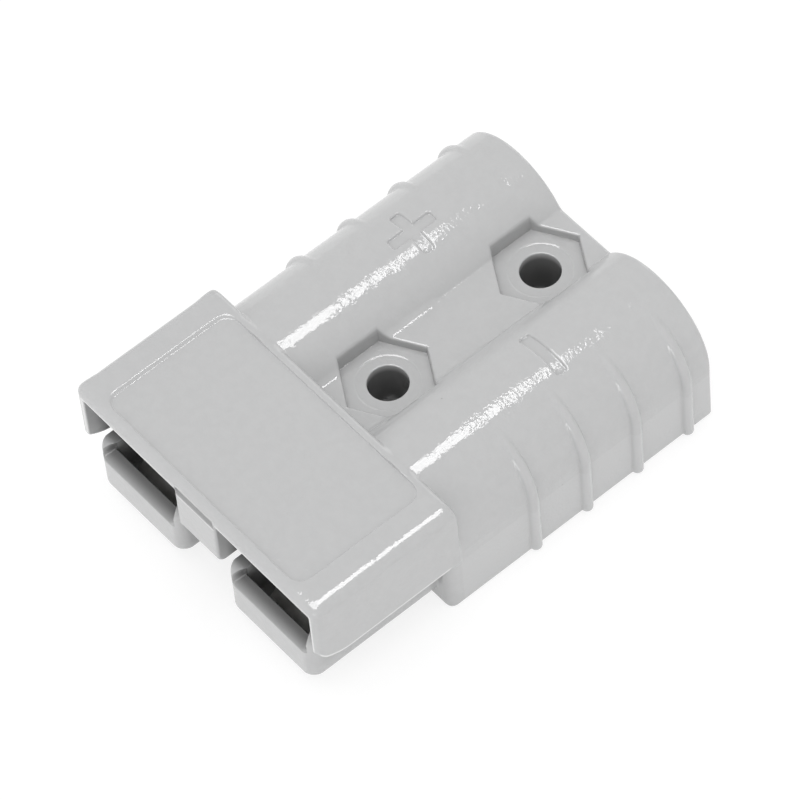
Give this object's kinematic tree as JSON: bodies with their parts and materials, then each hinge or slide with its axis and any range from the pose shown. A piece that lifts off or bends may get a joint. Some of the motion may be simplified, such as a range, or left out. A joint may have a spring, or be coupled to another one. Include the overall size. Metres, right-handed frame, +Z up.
{
  "type": "genderless power connector",
  "caption": "Genderless two-pole power connector: a grey moulding whose hood, centre post and tongues mate with a turned-over twin, with round cable barrels and nut recesses.",
  "frame": {"origin": "on the bottom face, midway between the two fixing holes", "axes": "+X across the two poles (the minus pole is at +X), +Y towards the cable end, +Z up from the bottom face to the hood"},
  "size_m": [0.0378, 0.0502, 0.016],
  "materials": {
    "housing": "moulded polycarbonate, glossy",
    "contact": "silver-plated copper, satin",
    "spring": "rolled stainless spring steel"
  },
  "bodies": {
    "root": {"housing": "housing", "contact_positive": "contact", "contact_negative": "contact", "spring_positive": "spring", "spring_negative": "spring"}
  },
  "joints": []
}
